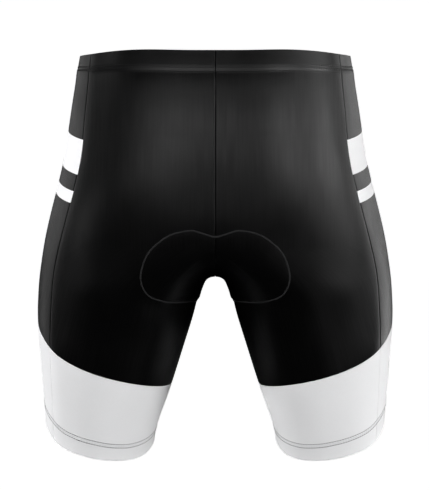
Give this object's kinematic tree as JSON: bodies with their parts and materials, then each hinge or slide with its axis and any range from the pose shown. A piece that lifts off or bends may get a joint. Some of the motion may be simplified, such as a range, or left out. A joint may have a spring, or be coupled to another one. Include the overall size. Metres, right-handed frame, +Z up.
{
  "type": "cycling training shorts",
  "caption": "Close-fitting knee-length training shorts with an elastic waistband, contrast leg bands and a seat pad, in worn hollow form.",
  "frame": {"origin": "centre of the waist opening, at the height of the waistband's top edge at the sides", "axes": "+Z up, +Y to the wearer's front, +X to the wearer's right"},
  "size_m": [0.3794, 0.2394, 0.434],
  "materials": {
    "black_knit": "smooth satin knit",
    "white_knit": "smooth satin knit",
    "waistband_knit": "satin knit over elastic",
    "pad_fleece": "brushed fleece"
  },
  "bodies": {
    "root": {"back_left": "black_knit", "back_right": "black_knit", "side_left": "black_knit", "side_right": "black_knit", "front_left": "black_knit", "front_right": "black_knit", "waistband_back_left": "waistband_knit", "waistband_back_right": "waistband_knit", "waistband_side_left": "waistband_knit", "waistband_side_right": "waistband_knit", "waistband_front_left": "waistband_knit", "waistband_front_right": "waistband_knit", "leg_band_back_left": "white_knit", "leg_band_back_right": "white_knit", "leg_band_side_left": "white_knit", "leg_band_side_right": "white_knit", "leg_band_front_left": "white_knit", "leg_band_front_right": "white_knit", "seat_pad": "pad_fleece"}
  },
  "joints": []
}
